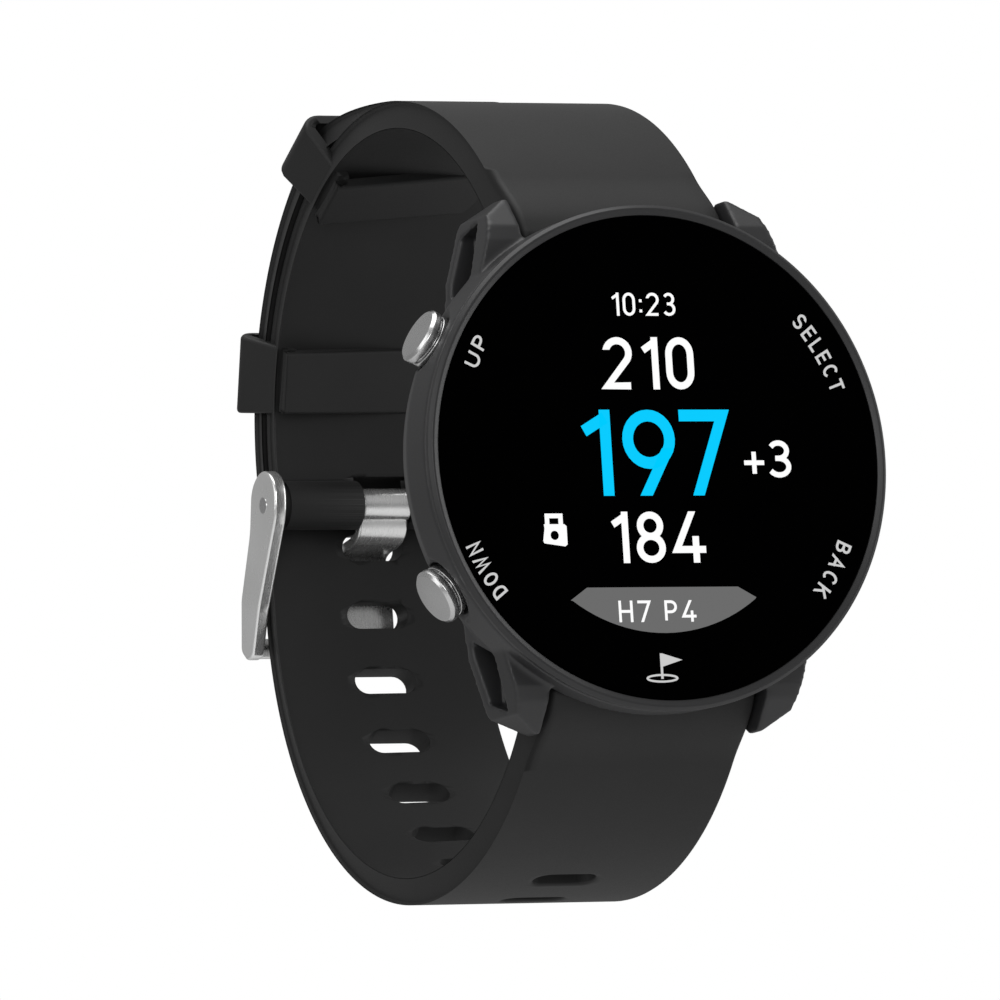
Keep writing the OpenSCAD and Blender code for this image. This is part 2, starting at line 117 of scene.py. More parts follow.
# ---- Sizes of the looks alone ----

HOLLOW = (19.2, 4.0)  # the cavity's inner corner: radius and height
DISH_FLOOR = 22.25  # the hollow round each button
DISH_RIM = 24.2
VOXEL = 0.2
EDGE = 0.32  # rounding along the straps and their slots
ROOT_END = -2.5  # where a strap ends, counted from its spring bar
NOSE = 1.3  # length of that rounded end
CROSS = (53.75, -9.25)  # Y and Z of the buckle's crossbar
CROSS_R = 0.95
TONGUE_T = 1.0
BLADE_HALF = 3.0  # half width of the tongue outside the strap
INK_FRONT = CASE_H + 0.012
INK_BACK = CASE_H - 0.05


# ---- Mesh helpers ----


def build(name, verts, faces):
    """A mesh object from vertices in millimetres, cleaned, with its normals outwards."""
    mesh = bpy.data.meshes.new(name)
    mesh.from_pydata([Vector(v) * MM for v in verts], [], faces)
    bm = bmesh.new()
    bm.from_mesh(mesh)
    bmesh.ops.remove_doubles(bm, verts=bm.verts, dist=1e-7)
    bmesh.ops.dissolve_degenerate(bm, edges=bm.edges, dist=1e-8)
    bmesh.ops.recalc_face_normals(bm, faces=bm.faces)
    bm.to_mesh(mesh)
    bm.free()
    obj = bpy.data.objects.new(name, mesh)
    bpy.context.scene.collection.objects.link(obj)
    return obj


def smooth(obj, weighted=True):
    """Smooth shading whose normals follow the larger faces, so flat faces stay flat."""
    for polygon in obj.data.polygons:
        polygon.use_smooth = True
    if weighted:
        modifier = obj.modifiers.new("weighted", "WEIGHTED_NORMAL")
        modifier.weight = 80
        modifier.keep_sharp = True
    return obj


def apply_modifiers(obj):
    """Turns an object's modifiers into its mesh."""
    evaluated = obj.evaluated_get(bpy.context.evaluated_depsgraph_get())
    mesh = bpy.data.meshes.new_from_object(evaluated)
    obj.modifiers.clear()
    old = obj.data
    obj.data = mesh
    bpy.data.meshes.remove(old)


def combine(obj, others, operation):
    """A boolean of obj with each of the others, which are then removed."""
    for other in others:
        modifier = obj.modifiers.new("cut", "BOOLEAN")
        modifier.operation = operation
        modifier.solver = "EXACT"
        modifier.object = other
    bpy.context.view_layer.update()
    apply_modifiers(obj)
    for other in others:
        bpy.data.objects.remove(other)
    return obj


def soften(corners, steps=6):
    """A closed outline from corners (a, b, radius), with an arc at each corner that has one."""
    outline = []
    for i, (a, b, radius) in enumerate(corners):
        here = Vector((a, b))
        if radius == 0:
            outline.append(here)
            continue
        back = Vector(corners[i - 1][:2]) - here
        ahead = Vector(corners[(i + 1) % len(corners)][:2]) - here
        half = back.angle(ahead) / 2
        reach = min(radius / math.tan(half), 0.49 * back.length, 0.49 * ahead.length)
        inwards = (back.normalized() + ahead.normalized()).normalized()
        centre = here + inwards * reach / math.cos(half)
        first = here + back.normalized() * reach - centre
        turn = math.copysign(math.pi - 2 * half, first.x * ahead.y - first.y * ahead.x)
        for k in range(steps + 1):
            outline.append(centre + rotated(first, turn * k / steps))
    return outline


def rotated(v, angle):
    c, s = math.cos(angle), math.sin(angle)
    return Vector((v.x * c - v.y * s, v.x * s + v.y * c))


def polar(centre, radius, degrees):
    a = math.radians(degrees)
    return Vector((centre[0] + radius * math.cos(a), centre[1] + radius * math.sin(a)))


def rings_to_faces(rings, points, closed):
    """Quads between neighbouring rings of the same number of points."""
    faces = []
    for i in range(rings if closed else rings - 1):
        for k in range(points):
            a, b = i * points, (i + 1) % rings * points
            m = (k + 1) % points
            faces.append((a + k, a + m, b + m, b + k))
    return faces


def lathe(name, profile, origin, axis, segments):
    """Turns a closed outline of (radius, distance along the axis) about an axis."""
    axis = Vector(axis).normalized()
    side = axis.orthogonal().normalized()
    other = axis.cross(side)
    verts = []
    for i in range(segments):
        a = 2 * math.pi * i / segments
        out = side * math.cos(a) + other * math.sin(a)
        verts += [Vector(origin) + out * p[0] + axis * p[1] for p in profile]
    return build(name, verts, rings_to_faces(segments, len(profile), True))


def inset(outline, distance):
    """An outline moved inwards along its own normals. It runs counter-clockwise."""
    moved = []
    for i, here in enumerate(outline):
        ahead = (outline[(i + 1) % len(outline)] - here).normalized()
        back = (here - outline[i - 1]).normalized()
        along = (ahead + back).normalized()
        normal = Vector((-along.y, along.x))
        moved.append(here + normal * distance / max(0.5, abs(along.dot(ahead))))
    return moved


def plate(name, outline, x0, x1, bevel, steps, place=None):
    """An outline in the Y-Z plane made into a plate from x0 to x1, with rounded edges."""
    area = sum(p.x * q.y - q.x * p.y for p, q in zip(outline, outline[1:] + outline[:1]))
    outline = list(outline) if area > 0 else list(reversed(outline))
    rings = []
    for k in range(steps + 1):
        a = math.pi / 2 * k / steps
        rings.append((inset(outline, bevel * (1 - math.sin(a))), x0 + bevel * (1 - math.cos(a))))
    rings += [(ring, x0 + x1 - x) for ring, x in reversed(rings)]
    place = place or (lambda x, y, z: (x, y, z))
    verts = [place(x, p.x, p.y) for ring, x in rings for p in ring]
    count = len(outline)
    faces = rings_to_faces(len(rings), count, False)
    faces.append(tuple(range(count)))
    faces.append(tuple(reversed(range((len(rings) - 1) * count, len(rings) * count))))
    return build(name, verts, faces)


def bench(x, y, z):
    """From the case's bench frame, lying face up, to the row frame."""
    return (x, -z, y)


def finish_piece(obj, body, slot, *nodes):
    """The body that a piece rides on, its material slot and what it stands for."""
    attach(obj, body)
    if nodes:
        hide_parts(*nodes)
    obj.data.materials.clear()
    obj.data.materials.append(LOOKS[slot])


# ---- Materials ----


def new_material(name):
    material = bpy.data.materials.new(name)
    material.use_nodes = True
    return material, material.node_tree.nodes, material.node_tree.links


def grain(nodes, links, size, detail, stretch=(1, 1, 1)):
    """A noise field whose features are about size millimetres across."""
    place = nodes.new("ShaderNodeTexCoord")
    mapping = nodes.new("ShaderNodeMapping")
    mapping.inputs["Scale"].default_value = stretch
    noise = nodes.new("ShaderNodeTexNoise")
    noise.inputs["Scale"].default_value = 1 / (size * MM)
    noise.inputs["Detail"].default_value = detail
    links.new(place.outputs["Object"], mapping.inputs["Vector"])
    links.new(mapping.outputs["Vector"], noise.inputs["Vector"])
    return noise.outputs["Fac"]


def ramp(nodes, links, field, low, high):
    """A field's middle stretched between two colours."""
    node = nodes.new("ShaderNodeValToRGB")
    node.color_ramp.elements[0].position = 0.25
    node.color_ramp.elements[1].position = 0.75
    node.color_ramp.elements[0].color = (*low, 1)
    node.color_ramp.elements[1].color = (*high, 1)
    links.new(field, node.inputs["Fac"])
    return node.outputs["Color"]


def between(nodes, links, field, low, high):
    """A field mapped to numbers from low to high."""
    node = nodes.new("ShaderNodeMapRange")
    node.inputs["From Min"].default_value = 0.3
    node.inputs["From Max"].default_value = 0.7
    node.inputs["To Min"].default_value = low
    node.inputs["To Max"].default_value = high
    links.new(field, node.inputs["Value"])
    return node.outputs["Result"]


def surface(
    name, colour, rough, metallic=0.0, size=0.25, vary=0.12, rough_vary=0.05, bump=0.01,
    stretch=(1, 1, 1), level=0.5, sheen=0.0
):
    """A material with fine grain: its colour and roughness wander, and bump is in millimetres."""
    material, nodes, links = new_material(name)
    shader = nodes["Principled BSDF"]
    fine = grain(nodes, links, size, 5.0, stretch)
    broad = grain(nodes, links, 9.0, 2.0)
    low = tuple(c * (1 - vary) for c in colour)
    high = tuple(min(1, c * (1 + vary)) for c in colour)
    links.new(ramp(nodes, links, broad, low, high), shader.inputs["Base Color"])
    wander = between(nodes, links, fine, rough - rough_vary, rough + rough_vary)
    links.new(wander, shader.inputs["Roughness"])
    shader.inputs["Metallic"].default_value = metallic
    shader.inputs["Specular IOR Level"].default_value = level
    shader.inputs["Sheen Weight"].default_value = sheen
    if bump > 0:
        node = nodes.new("ShaderNodeBump")
        node.inputs["Distance"].default_value = bump * MM
        node.inputs["Strength"].default_value = 0.6
        links.new(fine, node.inputs["Height"])
        links.new(node.outputs["Normal"], shader.inputs["Normal"])
    return material


def lit(name, colour):
    """Ink that gives its own light, with a faint grain. The display's screen ink glows as a
    screen does, and the button labels and emblem use it too: their print's glow is painted light.
    """
    material, nodes, links = new_material(name)
    shader = nodes["Principled BSDF"]
    fine = grain(nodes, links, 0.12, 0.0)
    low = tuple(0.985 * c for c in colour)
    links.new(ramp(nodes, links, fine, low, colour), shader.inputs["Emission Color"])
    shader.inputs["Emission Strength"].default_value = 1.0
    shader.inputs["Base Color"].default_value = (0, 0, 0, 1)
    shader.inputs["Roughness"].default_value = 0.3
    shader.inputs["Specular IOR Level"].default_value = 0.1
    return material


LOOKS = {
    "case_plastic": surface("case_plastic", (0.021, 0.021, 0.022), 0.42, size=0.12, bump=0.004),
    "bezel_metal": surface("bezel_metal", (0.03, 0.03, 0.031), 0.38, 0.3, size=0.1, bump=0.002),
    "lens_glass": surface(
        "lens_glass", (0.0004, 0.0004, 0.00045), 0.06,
        size=0.5, rough_vary=0.015, bump=0, level=0.0
    ),
    "display": lit("display", (1.0, 1.0, 1.0)),
    "strap_silicone": surface(
        "strap_silicone", (0.0138, 0.0138, 0.0138), 0.56,
        size=0.14, bump=0.006, sheen=0.02, level=0.3
    ),
    "keeper_silicone": surface(
        "keeper_silicone", (0.0145, 0.0145, 0.0145), 0.54,
        size=0.14, bump=0.006, sheen=0.02, level=0.3
    ),
    "brushed_metal": surface(
        "brushed_metal", (0.95, 0.95, 0.94), 0.24, 0.85,
        size=0.05, bump=0.003, stretch=(1, 0.06, 0.06)
    ),
    "button_metal": surface(
        "button_metal", (0.66, 0.66, 0.66), 0.26, 1.0, size=0.06, bump=0.002, stretch=(1, 1, 0.08)
    ),
    "pin_steel": surface("pin_steel", (0.6, 0.6, 0.6), 0.25, 1.0, size=0.08, bump=0.002),
    "spring_steel": surface("spring_steel", (0.5, 0.5, 0.51), 0.3, 1.0, size=0.06, bump=0.002),
    "gasket_rubber": surface("gasket_rubber", (0.015, 0.015, 0.015), 0.6, size=0.1),
    "circuit_board": surface("circuit_board", (0.01, 0.09, 0.035), 0.35, size=0.4, vary=0.3),
    "chip_black": surface("chip_black", (0.02, 0.02, 0.022), 0.5, size=0.08),
    "shield_metal": surface("shield_metal", (0.6, 0.6, 0.62), 0.35, 1.0, size=0.15),
    "antenna_ceramic": surface("antenna_ceramic", (0.6, 0.52, 0.36), 0.55, size=0.2),
    "flex_film": surface("flex_film", (0.5, 0.22, 0.05), 0.3, size=0.3, vary=0.2),
    "battery_pouch": surface("battery_pouch", (0.55, 0.56, 0.58), 0.32, 0.9, size=0.6, bump=0.02),
    "foam": surface("foam", (0.05, 0.05, 0.05), 0.9, size=0.3, bump=0.03),
    "contact_gold": surface("contact_gold", (0.85, 0.6, 0.25), 0.22, 1.0, size=0.1, bump=0.001),
}
CYAN = lit("display_cyan", (0.0, 0.604, 1.0))
GREY = lit("display_grey", (0.147, 0.147, 0.147))
# Label and emblem print, drawn glowing: its brightness is painted light, not light from the
# lamps.
PRINT_WITH_PAINTED_GLOW = lit("label_print_painted_glow", (0.6, 0.6, 0.6))


def paint_cad_nodes():
    """Every CAD node gets the look of its slot in the record."""
    slot_of = {part["node"]: part["material_slot"] for part in frame["record"]["subparts"]}
    for name, obj in frame["nodes"].items():
        look = LOOKS[slot_of[name]]
        obj.data.materials.clear()
        obj.data.materials.append(look)


# ---- Case ----


def bezel():
    profile = soften(
        [
            (SEAT_R, CASE_TOP, 0), (BEZEL_SKIRT_R, CASE_TOP, 0),
            (BEZEL_SKIRT_R, RIM_TOP - 0.7, 0),
            (BEZEL_WALL_R, RIM_TOP - 0.7, 0), (BEZEL_WALL_R, RING_Z, 0), (CASE_R, RING_Z, 0.12),
            (CASE_R, CASE_H - 0.35, 0.15), (CASE_R - 0.3, CASE_H, 0.12),
            (CASE_R - 0.5, CASE_H, 0.08),
            (GLASS_R + 0.05, CASE_H - 0.16, 0.06), (GLASS_R, CASE_H - 0.3, 0),
            (GLASS_R, LENS_SEAT, 0), (SEAT_R, LENS_SEAT, 0)
        ]
    )
    ring = lathe("bezel_ring", profile, (0, 0, 0), (0, -1, 0), 256)
    finish_piece(smooth(ring), "watch", "bezel_metal", "bezel")


def lens():
    edge = GLASS_R - 0.05
    seat = -lens_high.y / MM
    front = CASE_H - 0.04
    profile = soften([(0, seat, 0), (edge, seat, 0), (edge, front, 0.12), (0, front, 0)])
    glass = lathe("lens_glass", profile, (0, 0, 0), (0, -1, 0), 256)
    finish_piece(smooth(glass), "watch", "lens_glass", "lens")


def extrude_box(name, outline, low, high, place):
    """A plain prism from an outline, used to cut or add to the case."""
    return plate(name, [Vector(p) for p in outline], low, high, 0.0005, 1, place)


def lug(sx, sy):
    """One lug: the case's plan outline met with its side outline."""
    plan = [
        (LUG_GAP / 2, 12), (LUG_GAP / 2, LUG_SPAN / 2), (11.4, LUG_SPAN / 2), (13.8, 22.6),
        (15.4, 17.2), (16, 12)
    ]
    side = [
        (12, 0.6), (12, 8), (20.2, 8), (21.6, 7.5), (LUG_SPAN / 2, 5.3), (LUG_SPAN / 2, 3.4),
        (22.2, 0.6)
    ]
    upright = extrude_box("lug_plan", plan, 0, CASE_H, lambda h, x, y: bench(sx * x, sy * y, h))
    across = extrude_box("lug_side", side, 5, 20, lambda x, y, h: bench(sx * x, sy * y, h))
    return combine(upright, [across], "INTERSECT")


def lug_pocket(sx, sy):
    outline = [(15.5, 1.7), (17.1, 5.8), (22.2, 4.9), (21.2, 1.8)]
    return extrude_box("pocket", outline, 12.6, 20, lambda x, y, h: bench(sx * x, sy * y, h))


def button_axis(angle):
    a = math.radians(angle)
    return Vector(bench(math.cos(a), math.sin(a), 0))


def mid_case():
    wall_r = CASE_R - 0.05
    profile = [
        (BACK_OPENING_R, CASE_BOTTOM), (19.4, CASE_BOTTOM), (20.6, 0.9), (22.4, 4.2), (wall_r, 6),
        (wall_r, RIM_TOP - 0.15), (wall_r - 0.15, RIM_TOP), (BEZEL_WALL_R + 0.05, RIM_TOP),
        (BEZEL_WALL_R + 0.05, RIM_TOP - 0.75), (BEZEL_SKIRT_R + 0.05, RIM_TOP - 0.75),
        (BEZEL_SKIRT_R + 0.05, CASE_TOP), (DISPLAY_SEAT[0], CASE_TOP), DISPLAY_SEAT,
        (HOLLOW[0], DISPLAY_SEAT[1]), HOLLOW, (BACK_SEAT[0], HOLLOW[1]), BACK_SEAT,
        (BACK_OPENING_R, BACK_SEAT[1])
    ]
    corners = [(sx, sy) for sx in (1, -1) for sy in (1, -1)]
    case = lathe("mid_case_shell", profile, (0, 0, 0), (0, -1, 0), 256)
    combine(case, [lug(sx, sy) for sx, sy in corners], "UNION")
    cutters = [lug_pocket(sx, sy) for sx, sy in corners]
    for sy in (1, -1):
        half = LUG_GAP / 2
        room = [(-half, CASE_FLAT), (half, CASE_FLAT), (half, 31), (-half, 31)]
        cutters.append(
            extrude_box(
                "strap_room", room, -1, LUG_CUT_TOP, lambda h, x, y, sy=sy: bench(x, sy * y, h)
            )
        )
    for angle in BUTTON_ANGLES.values():
        axis = button_axis(angle)
        dish = soften(
            [(0, DISH_FLOOR, 0), (3.0, DISH_FLOOR, 0.6), (4.3, DISH_RIM, 0), (0, DISH_RIM, 0)]
        )
        cutters.append(lathe("dish", dish, (0, -BUTTON_Z, 0), axis, 48))
        well_r = BUTTON_R + 0.1
        well = [(0, WELL_FLOOR), (well_r, WELL_FLOOR), (well_r, 25), (0, 25)]
        cutters.append(lathe("well", [Vector(p) for p in well], (0, -BUTTON_Z, 0), axis, 48))
    combine(case, cutters, "DIFFERENCE")
    remesh = case.modifiers.new("remesh", "REMESH")
    remesh.mode = "VOXEL"
    remesh.voxel_size = VOXEL * MM
    blur = case.modifiers.new("blur", "SMOOTH")
    blur.factor = 0.5
    blur.iterations = 4
    apply_modifiers(case)
    finish_piece(smooth(case, False), "watch", "case_plastic", "mid_case")


def buttons():
    for name, angle in BUTTON_ANGLES.items():
        profile = soften(
            [
                (0, 22.0, 0), (BUTTON_R - 0.1, 22.0, 0.1), (BUTTON_R - 0.1, 22.8, 0.08),
                (BUTTON_R - 0.4, 22.85, 0.05), (BUTTON_R - 0.4, 23.1, 0.05),
                (BUTTON_R, 23.1, 0.1),
                (BUTTON_R, 23.7, 0.12), (BUTTON_R - 0.28, 23.98, 0.1), (0, 24.0, 0)
            ],
            4,
        )
        cap = lathe(name + "_cap", profile, (0, -BUTTON_Z, 0), button_axis(angle), 96)
        finish_piece(smooth(cap), name + "_button", "button_metal", name + "_button")


# ---- Straps ----


def place_upper(s):
    """The upper half's middle line: a point and its outward direction, s from the spring bar."""
    degrees = UPPER_START - math.degrees(s / UPPER_R)
    return polar(UPPER_C, UPPER_R, degrees), polar((0, 0), 1, degrees)


LOWER_ARC = math.radians(-LOWER_START) * LOWER_R
LINE_FROM = polar(LOWER_C, LOWER_R, 0)
LINE_TO = polar(UPPER_C, TAIL_R, 0)
LINE = (LINE_TO - LINE_FROM).length
LOWER_LENGTH = LOWER_ARC + LINE + math.radians(TAIL_END) * TAIL_R


def place_lower(s):
    """The lower half's middle line, from its spring bar round to the tip of the tail."""
    if s < LOWER_ARC:
        degrees = LOWER_START + math.degrees(s / LOWER_R)
        return polar(LOWER_C, LOWER_R, degrees), polar((0, 0), 1, degrees)
    if s < LOWER_ARC + LINE:
        t = (s - LOWER_ARC) / LINE
        return LINE_FROM.lerp(LINE_TO, t), Vector((1, 0))
    degrees = math.degrees((s - LOWER_ARC - LINE) / TAIL_R)
    return polar(UPPER_C, TAIL_R, degrees), polar((0, 0), 1, degrees)


def ease(t):
    t = max(0.0, min(1.0, t))
    return t * t * (3 - 2 * t)


def root_shape(s, h, half):
    """A strap's thick end: h is a height from the middle line, and half is half its thickness."""
    top = half + 1.1 * ease(1 - s / 6.2)
    bottom = half + 0.8 * ease(1 - abs(s) / 2.6)
    nose = 1.0
    if s < ROOT_END + NOSE:
        u = (ROOT_END + NOSE - s) / NOSE
        nose = math.sqrt(max(0.0, 1 - u * u)) * 0.75 + 0.25 * (1 - u)
    middle = 0.4 * ease(1 - s / 3)
    bent = h / half * (top if h > 0 else bottom)
    return middle + (bent - middle) * nose


def strap_body(name, place, shape, stations, half_width, half):
    """A strap swept along its middle line: a rounded section of changing width and thickness."""
    verts = []
    for s in stations:
        wide = half_width(s)
        corners = [
            (-wide, -half, EDGE), (wide, -half, EDGE), (wide, half, EDGE), (-wide, half, EDGE)
        ]
        at, out = place(s)
        for p in divided(soften(corners, 5), wide, 16):
            spot = at + out * shape(s, p.y)
            verts.append((p.x, spot.x, spot.y))
    count = len(verts) // len(stations)
    faces = rings_to_faces(len(stations), count, False)
    faces.append(tuple(range(count)))
    faces.append(tuple(reversed(range(len(verts) - count, len(verts)))))
    return build(name, verts, faces)


def divided(outline, wide, count):
    """The same outline with its two faces as wide as the strap cut into count steps."""
    run = []
    for here, ahead in zip(outline, outline[1:] + outline[:1]):
        steps = count if abs(ahead.x - here.x) > wide else 1
        run += [here.lerp(ahead, k / steps) for k in range(steps)]
    return run


def slot_cutter(s, place, half):
    """A slot through the strap at s, with rounded rims where it meets both faces."""
    at, out = place(s)
    along = Vector((-out.y, out.x))
    heights = [(half + 1, EDGE + 0.3)]
    for k in range(6):
        down = math.sin(math.pi / 2 * k / 5)
        heights.append((half - EDGE * down, EDGE * (1 - math.sin(math.acos(1 - down)))))
    heights += [(-h, grow) for h, grow in reversed(heights)]
    reach = (SLOT_L - SLOT_W) / 2
    verts = []
    for h, grow in heights:
        radius = SLOT_W / 2 + grow
        for side, start in ((1, -90), (-1, 90)):
            for k in range(13):
                a = math.radians(start + 15 * k)
                spot = at + out * h + along * radius * math.sin(a)
                verts.append((side * reach + radius * math.cos(a), spot.x, spot.y))
    count = len(verts) // len(heights)
    faces = rings_to_faces(len(heights), count, False)
    faces.append(tuple(range(count)))
    faces.append(tuple(reversed(range(len(verts) - count, len(verts)))))
    return build("slot_cutter", verts, faces)


def steps_between(start, end, step):
    """Even stations from start to end, no further apart than step."""
    count = math.ceil((end - start) / step)
    return [start + (end - start) * k / count for k in range(count + 1)]


def nose_stations(start, length, sign):
    """Stations that crowd towards a rounded end, length away from start."""
    return [start + sign * length * math.sin(math.pi / 2 * k / 10) for k in range(1, 11)]


def lever_slot(z_sign):
    """The notch that a spring bar's release lever moves in."""
    outline = [(PIN[0], 0.6), (PIN[0] + 6, 0.6), (PIN[0] + 6, -0.6), (PIN[0], -0.6)]
    moved = [(y, z + z_sign * PIN[1]) for y, z in outline]
    return extrude_box("lever_slot", moved, -8.0, -5.6, lambda x, y, z: (x, y, z))


ROOT_STATIONS = list(reversed(nose_stations(ROOT_END + NOSE, NOSE - 0.01, -1)))


def upper_strap():
    half = STRAP_T / 2
    end = math.radians(UPPER_START - UPPER_END) * UPPER_R - 1.2
    stations = ROOT_STATIONS + steps_between(ROOT_END + NOSE, 7, 0.25)
    stations += steps_between(7.5, end, 0.6)
    strap = strap_body(
        "upper_strap_skin", place_upper, lambda s, h: root_shape(s, h, half), stations,
        lambda s: STRAP_W / 2, half
    )
    sleeves = []
    for side in (-1, 1):
        ends = [side * 2.0, side * STRAP_W / 2]
        corners = [
            (BORE_R, ends[0], 0), (SLEEVE_R, ends[0], 0), (SLEEVE_R, ends[1], 0.3),
            (BORE_R, ends[1], 0.1)
        ]
        sleeves.append(lathe("sleeve", soften(corners), (0, *BAR), (1, 0, 0), 96))
    combine(strap, sleeves, "UNION")
    reach, room = SLEEVE_R + 0.4, TONGUE_HALF + 0.3
    notch = soften([(0, -room, 0), (reach, -room, 0), (reach, room, 0), (0, room, 0)])
    combine(
        strap, [lathe("notch", notch, (0, *BAR), (1, 0, 0), 64), lever_slot(1)], "DIFFERENCE"
    )
    finish_piece(smooth(strap), "watch", "strap_silicone", "upper_strap")


def lower_strap():
    half = STRAP_T / 2
    slots = [math.radians(-LOWER_START + FIRST_SLOT - SLOT_STEP * i) * LOWER_R for i in range(9)]
    slots += [LOWER_ARC + STRAIGHT_SLOT + SLOT_PITCH * i for i in range(2)]
    tail_slot = LOWER_ARC + LINE + math.radians(TAIL_SLOT) * TAIL_R
    slots += [tail_slot + SLOT_PITCH * i for i in range(2)]

    def half_width(s):
        over = max(0.0, s - (LOWER_LENGTH - TIP_CORNER))
        return STRAP_W / 2 - TIP_CORNER + math.sqrt(max(0.0, TIP_CORNER**2 - over * over))

    def shape(s, h):
        thin = (STRAP_T - TAIL_T) / STRAP_T * ease((s - LOWER_ARC) / LINE)
        over = max(0.0, s - (LOWER_LENGTH - EDGE)) / EDGE
        tip = 1 - 0.3 * (1 - math.sqrt(max(0.0, 1 - over * over)))
        return root_shape(s, h, half) * (1 - thin) * tip

    stations = ROOT_STATIONS + steps_between(ROOT_END + NOSE, 7, 0.25)
    stations += steps_between(7.6, LOWER_LENGTH - TIP_CORNER, 0.6)
    stations += steps_between(LOWER_LENGTH - TIP_CORNER + 0.3, LOWER_LENGTH - 1.2, 0.3)
    stations += nose_stations(LOWER_LENGTH - 1.1, 1.1, 1)
    strap = strap_body("lower_strap_skin", place_lower, shape, stations, half_width, half)
    cutters = [slot_cutter(s, place_lower, half) for s in slots]
    combine(strap, cutters + [lever_slot(-1)], "DIFFERENCE")
    finish_piece(smooth(strap), "watch", "strap_silicone", "lower_strap")


def keeper(name, at, length):
    """A band round both strap layers: a rounded wall swept round a rounded rectangle."""
    wall = KEEPER_T
    low = UPPER_R - STRAP_T / 2 - KEEPER_PLAY - wall / 2
    high = TAIL_R + TAIL_T / 2 + KEEPER_PLAY + wall / 2
    half = STRAP_W / 2 + KEEPER_PLAY + wall / 2
    path = soften([(low, -half, 1.1), (high, -half, 1.1), (high, half, 1.1), (low, half, 1.1)], 7)
    cut = soften(
        [
            (-wall / 2, -length / 2, 0.2), (wall / 2, -length / 2, 0.35),
            (wall / 2, length / 2, 0.35), (-wall / 2, length / 2, 0.2)
        ],
        4,
    )
    verts = []
    for i, here in enumerate(path):
        ahead = (path[(i + 1) % len(path)] - path[i - 1]).normalized()
        out = Vector((ahead.y, -ahead.x))
        for across, along in cut:
            spot = here + out * across
            p = polar(UPPER_C, spot.x, at + math.degrees(along / UPPER_R))
            verts.append((spot.y, p.x, p.y))
    band = build(name + "_band", verts, rings_to_faces(len(path), len(cut), True))
    finish_piece(smooth(band), name, "keeper_silicone", name)


# ---- Buckle ----


def buckle_frame():
    """Two flat arms and the crossbar between them, notched for the tongue."""
    outline = soften(
        [
            (50.4, 5.6, 2.9), (51.3, 1.4, 8), (54.1, -4.6, 2.2), (54.75, -9.4, 0.9),
            (53.6, -10.4, 0.9), (52.3, -10.2, 0.8), (50.4, -5.8, 6), (45.3, 2.4, 5),
            (45.0, 5.6, 2.9), (47.8, 7.2, 2.6)
        ],
        10,
    )
    arms = []
    for side in (-1, 1):
        x0, x1 = sorted((side * ARM_X, side * (ARM_X + ARM_T)))
        arms.append(plate("arm", outline, x0, x1, 0.3, 5))
    room = BLADE_HALF + 0.3
    ends = (-ARM_X - 0.2, ARM_X + 0.2)
    profile = soften(
        [(0, ends[0], 0), (CROSS_R, ends[0], 0), (CROSS_R, ends[1], 0), (0, ends[1], 0)]
    )
    crossbar = lathe("crossbar", profile, (0, *CROSS), (1, 0, 0), 48)
    reach = (Vector(CROSS) - Vector(BAR)).length + 0.15
    notch = soften([(0, -room, 0), (reach, -room, 0), (reach, room, 0), (0, room, 0)])
    combine(crossbar, [lathe("tongue_room", notch, (0, *BAR), (1, 0, 0), 128)], "DIFFERENCE")
    combine(crossbar, arms, "UNION")
    dimples = []
    inner, outer = 0.3, 0.6
    for side in (-1, 1):
        ends = sorted((side * (ARM_X + ARM_T - 0.35), side * (ARM_X + ARM_T + 1)))
        ring = soften(
            [(inner, ends[0], 0), (outer, ends[0], 0), (outer, ends[1], 0), (inner, ends[1], 0)]
        )
        dimples.append(lathe("dimple", ring, (0, *BAR), (1, 0, 0), 48))
    combine(crossbar, dimples, "DIFFERENCE")
    crossbar.name = "buckle_frame_steel"
    finish_piece(smooth(crossbar), "buckle_frame", "brushed_metal", "buckle_frame")


def band_outline(path, thickness):
    """The outline of a bent strip of one thickness with a rounded tip."""
    left, right = [], []
    for i, here in enumerate(path):
        along = (path[min(i + 1, len(path) - 1)] - path[max(i - 1, 0)]).normalized()
        side = Vector((-along.y, along.x)) * thickness / 2
        left.append(here + side)
        right.append(here - side)
    tip = (path[-1] - path[-2]).normalized()
    start = math.atan2(-(left[-1] - path[-1]).y, -(left[-1] - path[-1]).x)
    end_cap = []
    for k in range(1, 8):
        a = start + math.pi * k / 8
        end_cap.append(path[-1] + Vector((math.cos(a), math.sin(a))) * thickness / 2)
    if (end_cap[3] - path[-1]).dot(tip) < 0:
        end_cap = [2 * path[-1] - p for p in end_cap]
        end_cap.reverse()
    return right + end_cap + list(reversed(left))


def spline(points, steps=6):
    """A smooth run through given points."""
    points = [Vector(p) for p in points]
    ends = [2 * points[0] - points[1], *points, 2 * points[-1] - points[-2]]
    run = []
    for i in range(1, len(ends) - 2):
        a, b, c, d = ends[i - 1:i + 3]
        for k in range(steps):
            t = k / steps
            square, cube = 2 * a - 5 * b + 4 * c - d, 3 * b - a - 3 * c + d
            run.append(0.5 * (2 * b + (c - a) * t + square * t**2 + cube * t**3))
    return run + [points[-1]]


